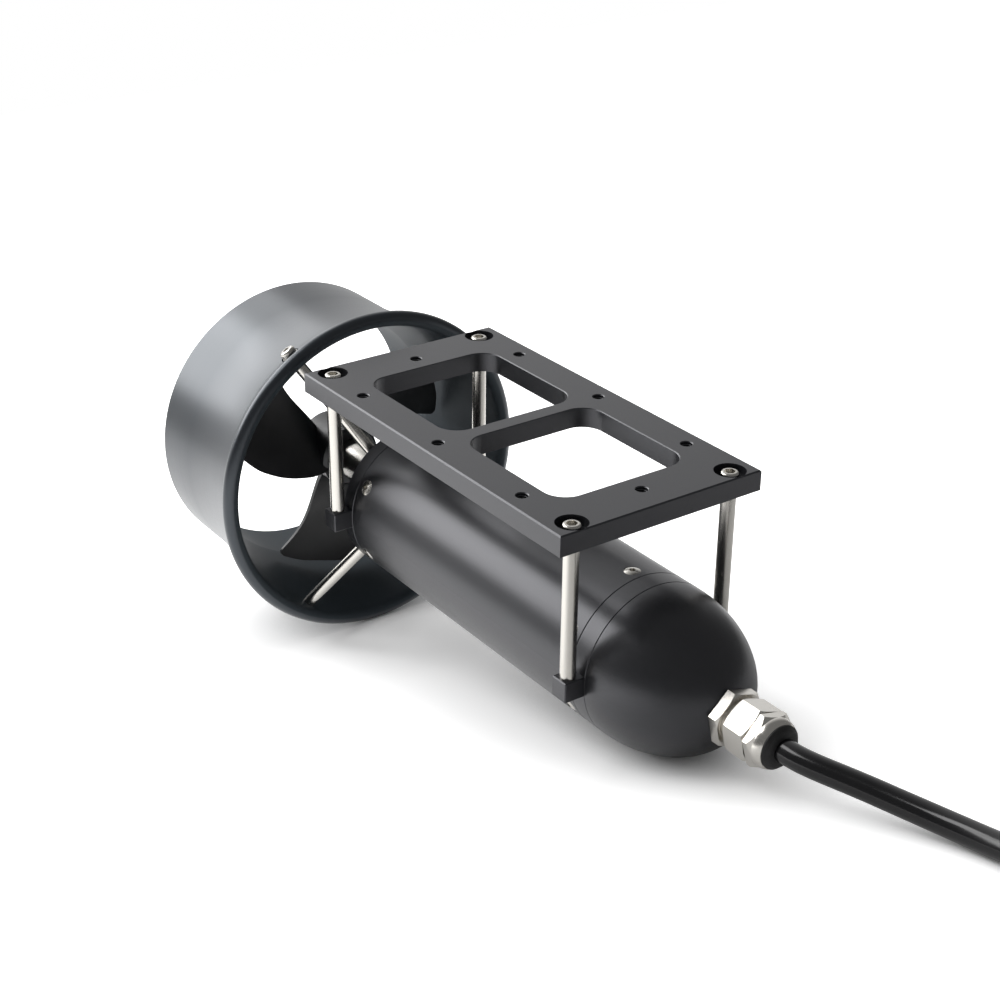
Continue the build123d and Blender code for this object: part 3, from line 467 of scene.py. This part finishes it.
# Glass-filled nylon, injection moulded: dark and silky, a little mottled where the fibres reach the skin
mouldedNylon = evenSkin("glassFilledNylon", {"IOR": 1.53}, {
    "colour": "#131416", "light": "#1c1d20", "cloud": 12, "grain": 0.45,
    "rough": (0.36, 0.46), "depth": 0.01,
})
# Nitrile rubber, moulded: matt and nearly black, with no sharp highlight
mouldedRubber = evenSkin("nitrileRubber", {"IOR": 1.52}, {
    "colour": "#0e0e0f", "light": "#181819", "cloud": 5, "grain": 0.3, "rough": (0.5, 0.62), "depth": 0.012,
})
# Soft PVC sheath, extruded: smooth black with long waxy highlights and a slight waviness
extrudedSheath = evenSkin("extrudedPvcSheath", {"IOR": 1.53}, {
    "colour": "#0d0d0f", "light": "#131315", "cloud": 14, "grain": 6, "rough": (0.14, 0.2), "depth": 0.03,
})
# Silicone insulation, extruded over the strands: soft, dull and evenly coloured
siliconeSkins = {
    colourName: evenSkin("siliconeInsulation" + colourName, {"IOR": 1.43}, {
        "colour": colour, "light": light, "cloud": 6, "grain": 0.4, "rough": (0.4, 0.5), "depth": 0.004,
    })
    for colourName, colour, light in (
        ("Blue", "#1d3f7a", "#264c8c"), ("White", "#cfccc4", "#dddad3"), ("Green", "#1f5c35", "#2a6d41"),
    )
}
# Tinned copper strands: pale, bright and fine, lined along their lay
tinnedStrand = linedMetal("tinnedCopper", {
    "colour": "#b3aea6", "light": "#cbc6be", "line": 0.1, "stretch": (0.1, 1, 1),
    "rough": (0.2, 0.3), "depth": 0.002,
})
# Motor laminations, stamped and stacked: grey steel, lined across the stack
stackedLaminations = linedMetal("laminationSteel", {
    "colour": "#6e6f72", "light": "#85868a", "line": 0.5, "stretch": (1, 0.02, 0.02),
    "rough": (0.35, 0.5), "depth": 0.02,
})
# Enamelled copper wire, wound: orange brown under a clear coat, lined along the slots
woundCopper = linedMetal("enamelledCopper", {
    "colour": "#93481f", "light": "#b8652f", "line": 0.6, "stretch": (0.02, 1, 1),
    "rough": (0.25, 0.4), "depth": 0.05,
})
# Magnets, sintered and nickel plated: smooth, with a soft sheen
platedMagnet = evenSkin("nickelPlatedMagnet", {"Metallic": 1.0}, {
    "colour": "#b3b0aa", "light": "#c4c1bb", "cloud": 8, "grain": 0.5, "rough": (0.2, 0.3), "depth": 0.004,
})
# Bearing steel, ground: bright and cold, with hair-fine lines
groundBearing = linedMetal("groundBearingSteel", {
    "colour": "#a9aaac", "light": "#c0c1c3", "line": 0.1, "stretch": (1, 1, 0.02),
    "rough": (0.14, 0.22), "depth": 0.002,
})
# Acetal, turned: an off-white, waxy plastic
turnedAcetal = evenSkin("acetalBush", {"IOR": 1.48}, {
    "colour": "#cbc2ad", "light": "#d6cebb", "cloud": 6, "grain": 0.3, "rough": (0.4, 0.5), "depth": 0.004,
})

materials = {
    "black_anodised": blastedAnodise(),
    "duct_anodised": turnedAnodise(),
    "stainless": polishedStainless,
    "nickel_brass": platedBrass,
    "black_nylon": mouldedNylon,
    "black_rubber": mouldedRubber,
    "cable_sheath": extrudedSheath,
    "core_insulation": siliconeSkins["Blue"],
    "lamination_steel": stackedLaminations,
    "copper_winding": woundCopper,
    "magnet_plate": platedMagnet,
    "bearing_steel": groundBearing,
    "bush_polymer": turnedAcetal,
}
slotOf = {part["node"]: part["material_slot"] for part in frame["record"]["subparts"]}
for name, node in nodes.items():
    node.data.materials.clear()
    node.data.materials.append(materials[slotOf[name]])
print("materials ready")


# Turned pieces


def addTurned(name, profile, around, slotName):
    # a closed (x, radius) outline in millimetres turned about the body's centre line
    shape = bmesh.new()
    rings = []
    for step in range(around):
        angle = 2 * math.pi * step / around
        rings.append([
            shape.verts.new((x * mm, r * mm * math.cos(angle), (axisZ + r * math.sin(angle)) * mm))
            for x, r in profile
        ])
    for ring, after in zip(rings, rings[1:] + rings[:1]):
        for corner in range(len(profile)):
            other = (corner + 1) % len(profile)
            shape.faces.new((ring[corner], ring[other], after[other], after[corner]))
    bmesh.ops.recalc_face_normals(shape, faces=shape.faces)
    mesh = bpy.data.meshes.new(name)
    shape.to_mesh(mesh)
    shape.free()
    mesh.materials.append(materials[slotName])
    turned = bpy.data.objects.new(name, mesh)
    scene.collection.objects.link(turned)
    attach(turned, "thruster")
    return turned


def smoothExceptEdges(mesh, angle):
    # soft shading everywhere but on edges sharper than this many degrees
    for face in mesh.polygons:
        face.use_smooth = True
    mesh.set_sharp_from_angle(angle=math.radians(angle))


# The duct's skin is one outline over the lip's bead, both flares and the straight tail
duct = {
    "lipX": 121.7, "lipRadius": 78, "lipRound": 3.7, "beadFrom": 249.4, "beadTo": 50,
    "blendCorner": (126.1, 79.15), "blendX": 127.5,
    "outside": 72.3, "outsideX": 176, "outsideRise": 7.4, "outsideRun": 52, "outsideBend": 1.85,
    "bore": 65, "throatX": 172.7, "throat": 64.75, "insideRise": 9.8, "insideRun": 52.3, "insideBend": 1.2,
    "tailX": 202.6, "tailEdge": 0.8, "steps": 22, "around": 288, "smooth": 28,
}
# flat round seats for the three strut screws, sunk into the lip; each leans towards the tail
seats = {
    "angles": (60, 180, 300), "x": 126.81, "radius": 76.15, "lean": 19, "height": 2.0, "diameter": 9.6,
    "cutter": 12, "around": 64,  # the cutting cylinder's height and its sides
}


def flareOutside(x):
    share = max((duct["outsideX"] - x) / duct["outsideRun"], 0)
    return duct["outside"] + duct["outsideRise"] * share ** duct["outsideBend"]


steps = duct["steps"]
outline = []
for step in range(steps + 1):
    share = step / steps
    outline.append((
        duct["throatX"] - duct["insideRun"] * share,
        duct["throat"] + duct["insideRise"] * share ** duct["insideBend"],
    ))
for step in range(1, steps + 1):
    angle = math.radians(duct["beadFrom"] + (duct["beadTo"] - duct["beadFrom"]) * step / steps)
    outline.append((
        duct["lipX"] + duct["lipRound"] * math.cos(angle),
        duct["lipRadius"] + duct["lipRound"] * math.sin(angle),
    ))
beadEnd = Vector(outline[-1])
corner = Vector(duct["blendCorner"])
blendEnd = Vector((duct["blendX"], flareOutside(duct["blendX"])))
for share in (0.2, 0.4, 0.6, 0.8):
    outline.append(tuple(beadEnd.lerp(corner, share).lerp(corner.lerp(blendEnd, share), share)))
for step in range(steps + 1):
    x = duct["blendX"] + (duct["outsideX"] - duct["blendX"]) * step / steps
    outline.append((x, flareOutside(x)))
tailX, edge = duct["tailX"], duct["tailEdge"]
outline += [
    (tailX - edge, duct["outside"]), (tailX, duct["outside"] - edge),
    (tailX, duct["bore"] + edge), (tailX - edge, duct["bore"]), (duct["throatX"], duct["bore"]),
]
ductSkin = addTurned("ductSkin", outline, duct["around"], "duct_anodised")
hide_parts("duct")

shape = bmesh.new()
for angle in seats["angles"]:
    lean = Matrix.Rotation(math.radians(seats["lean"]), 4, "Y")
    turn = Matrix.Rotation(math.radians(angle - 90), 4, "X")
    place = Matrix.Translation((0, 0, axisZ * mm)) @ turn @ Matrix.Translation(
        (seats["x"] * mm, 0, seats["radius"] * mm)
    ) @ lean @ Matrix.Translation((0, 0, (seats["height"] + seats["cutter"] / 2) * mm))
    bmesh.ops.create_cone(
        shape, cap_ends=True, segments=seats["around"], radius1=seats["diameter"] / 2 * mm,
        radius2=seats["diameter"] / 2 * mm, depth=seats["cutter"] * mm, matrix=place,
    )
seatMesh = bpy.data.meshes.new("seatCutter")
shape.to_mesh(seatMesh)
shape.free()
seatCutter = bpy.data.objects.new("seatCutter", seatMesh)
scene.collection.objects.link(seatCutter)
cut = ductSkin.modifiers.new("screwSeats", "BOOLEAN")
cut.operation = "DIFFERENCE"
cut.solver = "EXACT"
cut.object = seatCutter
cutMesh = bpy.data.meshes.new_from_object(ductSkin.evaluated_get(bpy.context.evaluated_depsgraph_get()))
ductSkin.modifiers.clear()
ductSkin.data = cutMesh
bpy.data.objects.remove(seatCutter)
smoothExceptEdges(ductSkin.data, duct["smooth"])

# Soft lip on the gland's seal that hugs the cable
sealLip = {
    "x": -168.1, "inside": 4.9, "outside": 8.4, "bulge": 1.6, "back": 0.5, "steps": 10, "around": 64,
    "smooth": 80,
}
lipOutline = [(sealLip["x"] + sealLip["back"], sealLip["inside"])]
for step in range(sealLip["steps"] + 1):
    angle = math.pi / 2 * (1 - step / sealLip["steps"])
    lipOutline.append((
        sealLip["x"] - sealLip["bulge"] * math.sin(angle),
        sealLip["inside"] + (sealLip["outside"] - sealLip["inside"]) * math.cos(angle),
    ))
lipOutline.append((sealLip["x"] + sealLip["back"], sealLip["outside"]))
glandSealLip = addTurned("glandSealLip", lipOutline, sealLip["around"], "black_rubber")
smoothExceptEdges(glandSealLip.data, sealLip["smooth"])
print("turned pieces ready")


# Cable

cable = {
    "exit": (-162.5, 0, axisZ),
    "diameter": 10,
    "length": 922,
    "coilCentre": (-312, -71),
    "coilAcross": 110,
    "turns": 2,
    "pointsPerTurn": 18,
    "low": 6,
    "high": 16,
    "climb": (0.80, 0.93),  # share of the first turn over which the cable climbs on itself
}
exitPoint = Vector(cable["exit"]) * mm
# out of the gland and down to the surface
outward = [
    exitPoint,
    exitPoint + Vector((-9.5, 0, 0)) * mm,
    exitPoint + Vector((-20, -1.6, 0)) * mm,
    onRest(-209, -7.8, 13),
    onRest(-226, -12.2, 9.4),
    onRest(-243.5, -15.6, 6.6),
    onRest(-264, -17, 5.2),
    onRest(-288, -16.6, 5.5),
]
# two turns, the second lying on the first
coil = []
for step in range(cable["turns"] * cable["pointsPerTurn"] + 1):
    turnShare = step / cable["pointsPerTurn"]
    angle = math.radians(90 + 360 * turnShare)
    start, end = cable["climb"]
    climbed = min(max((turnShare - start) / (end - start), 0), 1)
    coil.append(
        onRest(
            cable["coilCentre"][0] + cable["coilAcross"] / 2 * math.cos(angle),
            cable["coilCentre"][1] + cable["coilAcross"] / 2 * math.sin(angle),
            cable["low"] + (cable["high"] - cable["low"]) * climbed,
        )
    )
# off the coil and down again
tail = [
    onRest(-332, -16.3, 15.2),
    onRest(-354, -18, 10.4),
    onRest(-376, -21, 5.6),
    onRest(-396, -25, 5.2),
]


def addCurve(name, routes, diameter, material, roundness=10):
    # smooth tubes of one thickness, each route's points steering an open spline
    curve = bpy.data.curves.new(name, "CURVE")
    curve.dimensions = "3D"
    for points in routes:
        spline = curve.splines.new("NURBS")
        spline.points.add(len(points) - 1)
        for point, place in zip(spline.points, points):
            point.co = (*place, 1)
        spline.order_u = 3
        spline.use_endpoint_u = True
        spline.resolution_u = 12
    curve.bevel_depth = diameter / 2 * mm
    curve.bevel_resolution = roundness
    curve.use_fill_caps = True
    curve.materials.append(material)
    curveObject = bpy.data.objects.new(name, curve)
    scene.collection.objects.link(curveObject)
    return curveObject


cableSheath = addCurve("cableSheath", [outward + coil + tail], cable["diameter"], materials["cable_sheath"])
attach(cableSheath, "thruster")
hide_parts("cable", "cable_coil", "cable_tail")

# Three insulated cores stand out of the sheath's cut end and fan apart, their strands bare at the tips
cores = {
    "colours": ("Blue", "White", "Green"),
    "diameter": 2.8,
    "bundle": 1.96,  # from the cable's centre line to a core's
    "insulated": 26,
    "bare": 7,
    "fan": 3.4,  # how far a core's tip moves outwards
    "rise": 0.6,  # how much of that the upper core may rise
    "route": (-0.35, 0.0, 0.3, 0.65, 1.0),  # shares of the insulated length, from inside the sheath
    "strands": 7,
    "strandDiameter": 0.42,
    "strandSpacing": 1.02,
    "strandSunk": 0.5,  # the length inside the insulation
    "strandPoints": 5,
    "lay": 22,  # degrees that the strands turn from point to point
}
sheathEnd = tail[-1]
onward = (tail[-1] - tail[-2]).normalized()
sideways = onward.cross(restUp).normalized()
upwards = sideways.cross(onward).normalized()
for number, colourName in enumerate(cores["colours"]):
    angle = math.radians(90 + 120 * number)
    outwards = sideways * math.cos(angle) + upwards * math.sin(angle)
    spread = sideways * math.cos(angle) + upwards * max(math.sin(angle), 0) * cores["rise"]
    corePoints = []
    for share in cores["route"]:
        along = onward * cores["insulated"] * share
        fanned = spread * cores["fan"] * max(share, 0) ** 2
        corePoints.append(sheathEnd + (along + outwards * cores["bundle"] + fanned) * mm)
    core = addCurve("core" + colourName, [corePoints], cores["diameter"], siliconeSkins[colourName])
    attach(core, "thruster")
    tip = corePoints[-1]
    way = (corePoints[-1] - corePoints[-2]).normalized()
    wayAcross = way.cross(restUp).normalized()
    wayUp = wayAcross.cross(way)
    strandRoutes = []
    for strandNumber in range(cores["strands"]):
        # one strand runs down the middle and six lie round it
        ring = 0 if strandNumber == 0 else cores["strandDiameter"] * cores["strandSpacing"]
        route = []
        for step in range(cores["strandPoints"]):
            lay = math.radians(60 * strandNumber + cores["lay"] * step)
            offset = (wayAcross * math.cos(lay) + wayUp * math.sin(lay)) * ring
            reached = cores["bare"] * step / (cores["strandPoints"] - 1) - cores["strandSunk"]
            route.append(tip + (way * reached + offset) * mm)
        strandRoutes.append(route)
    strands = addCurve("strands" + colourName, strandRoutes, cores["strandDiameter"], tinnedStrand, 2)
    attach(strands, "thruster")
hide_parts("cable_cores")

# Nylon tie drawn round both turns of the coil, with its ratchet head and cut tail
tie = {
    "inside": 5.15, "low": 6, "high": 16, "width": 4.6, "thickness": 0.9, "tooth": 0.14, "step": 0.7,
    "arcSteps": 14,
    "head": (4.2, 6.6, 5.0), "headGap": 0.4,  # the gap is from the strap's inner face
    "tail": (1.6, 2.5), "tailFoot": 0.5, "tailRise": 4,  # its two faces, its foot in the head, its height
    "edge": 0.35,
}
tieCentre = (cable["coilCentre"][0] - cable["coilAcross"] / 2, cable["coilCentre"][1])
loop = []  # (inwards, height, normal inwards, normal height) round the two turns
reach = tie["inside"]
rise = tie["high"] - tie["low"]
# over the upper turn and down the coil's outer side, then under the lower turn and up again
for centre, start, way in ((tie["high"], 0, -1), (tie["low"], math.pi, 1)):
    for number in range(tie["arcSteps"] + 1):
        angle = start + math.pi * number / tie["arcSteps"]
        inward, up = math.cos(angle), math.sin(angle)
        loop.append((reach * inward, centre + reach * up, inward, up))
    for number in range(1, int(rise / tie["step"])):
        loop.append((way * reach, centre + way * tie["step"] * number, way, 0))


def tiePoint(inward, height, across):
    return onRest(tieCentre[0] + inward, tieCentre[1] + across, height)


shape = bmesh.new()
rings = []
for number, (inward, height, normalInward, normalHeight) in enumerate(loop):
    thick = tie["thickness"] - (tie["tooth"] if number % 2 else 0)
    half = tie["width"] / 2
    rings.append([
        shape.verts.new(tiePoint(inward + normalInward * t, height + normalHeight * t, q))
        for t, q in ((0, -half), (thick, -half), (thick, half), (0, half))
    ])
for ring, after in zip(rings, rings[1:] + rings[:1]):
    for corner in range(4):
        other = (corner + 1) % 4
        shape.faces.new((ring[corner], ring[other], after[other], after[corner]))
bmesh.ops.recalc_face_normals(shape, faces=shape.faces)
strapMesh = bpy.data.meshes.new("tieStrap")
shape.to_mesh(strapMesh)
shape.free()
tieStrap = bpy.data.objects.new("tieStrap", strapMesh)

# the head sits on the outer side, with the tail cut off short above it
headOut, headAcross, headHeight = tie["head"]
middle = (tie["low"] + tie["high"]) / 2
headTop = middle + headHeight / 2
headInner = reach + tie["headGap"]
tailInner, tailOuter = tie["tail"]
shape = bmesh.new()
for low, high, inner, outer, half in (
    (middle - headHeight / 2, headTop, headInner, headInner + headOut, headAcross / 2),
    (headTop - tie["tailFoot"], headTop + tie["tailRise"], reach + tailInner, reach + tailOuter,
     tie["width"] / 2),
):
    corners = [
        shape.verts.new(tiePoint(-out, height, q))
        for height in (low, high)
        for out, q in ((inner, -half), (outer, -half), (outer, half), (inner, half))
    ]
    for face in ((0, 1, 2, 3), (7, 6, 5, 4), (0, 4, 5, 1), (1, 5, 6, 2), (2, 6, 7, 3), (3, 7, 4, 0)):
        shape.faces.new([corners[i] for i in face])
bmesh.ops.recalc_face_normals(shape, faces=shape.faces)
headMesh = bpy.data.meshes.new("tieHead")
shape.to_mesh(headMesh)
shape.free()
tieHead = bpy.data.objects.new("tieHead", headMesh)
for piece in (tieStrap, tieHead):
    scene.collection.objects.link(piece)
    piece.data.materials.append(mouldedNylon)
    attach(piece, "thruster")
bevel = tieHead.modifiers.new("roundedEdges", "BEVEL")
bevel.width = tie["edge"] * mm
bevel.segments = 3
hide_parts("cable_tie")
print("cable laid")


# Screw threads


ridge = {"around": 28, "foot": 0.46, "top": 0.08}  # half widths of a thread's ridge, as shares of its pitch


def addHelix(shape, start, axis, turns, pitch, crest, root):
    # a ridge that winds about an axis, from millimetres; crest and root are its radii
    axis = Vector(axis).normalized()
    side = axis.orthogonal().normalized()
    up = axis.cross(side)
    foot, top = ridge["foot"], ridge["top"]
    rings = []
    for step in range(int(turns * ridge["around"]) + 1):
        angle = 2 * math.pi * step / ridge["around"]
        out = side * math.cos(angle) + up * math.sin(angle)
        along = Vector(start) + axis * pitch * step / ridge["around"]
        rings.append([
            shape.verts.new((along + axis * pitch * offset + out * radius) * mm)
            for offset, radius in ((-foot, root), (-top, crest), (top, crest), (foot, root))
        ])
    for ring, after in zip(rings, rings[1:]):
        for corner in range(4):
            other = (corner + 1) % 4
            shape.faces.new((ring[corner], ring[other], after[other], after[corner]))
    shape.faces.new(rings[0])
    shape.faces.new(rings[-1][::-1])


def addThreads(name, helices, slotName):
    shape = bmesh.new()
    for helix in helices:
        addHelix(shape, *helix)
    bmesh.ops.recalc_face_normals(shape, faces=shape.faces)
    mesh = bpy.data.meshes.new(name)
    shape.to_mesh(mesh)
    shape.free()
    for face in mesh.polygons:
        face.use_smooth = True
    mesh.materials.append(materials[slotName])
    thread = bpy.data.objects.new(name, mesh)
    scene.collection.objects.link(thread)
    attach(thread, "thruster")
    return thread


# the eight tapped holes in the plate, 5 mm across
tapped = {
    "places": (
        (-58.8, -41.9), (0, -41.9), (58.8, -41.9), (-58.8, 41.9), (0, 41.9), (58.8, 41.9), (-81, 0), (81, 0),
    ),
    "start": -0.9, "pitch": 0.8, "turns": 9.2, "crest": 2.12, "root": 2.52,
}
addThreads(
    "plateThreads",
    [((x, y, tapped["start"]), (0, 0, -1), tapped["turns"], tapped["pitch"], tapped["crest"], tapped["root"])
     for x, y in tapped["places"]],
    "black_anodised",
)
# the gland's neck, seen between its flange and its nut
glandNeck = {"start": -145.3, "pitch": 1.5, "turns": 1.9, "crest": 9.2, "root": 8.65}
addThreads(
    "glandNeckThread",
    [((glandNeck["start"], 0, axisZ), (-1, 0, 0), glandNeck["turns"], glandNeck["pitch"],
      glandNeck["crest"], glandNeck["root"])],
    "nickel_brass",
)
print("threads cut")
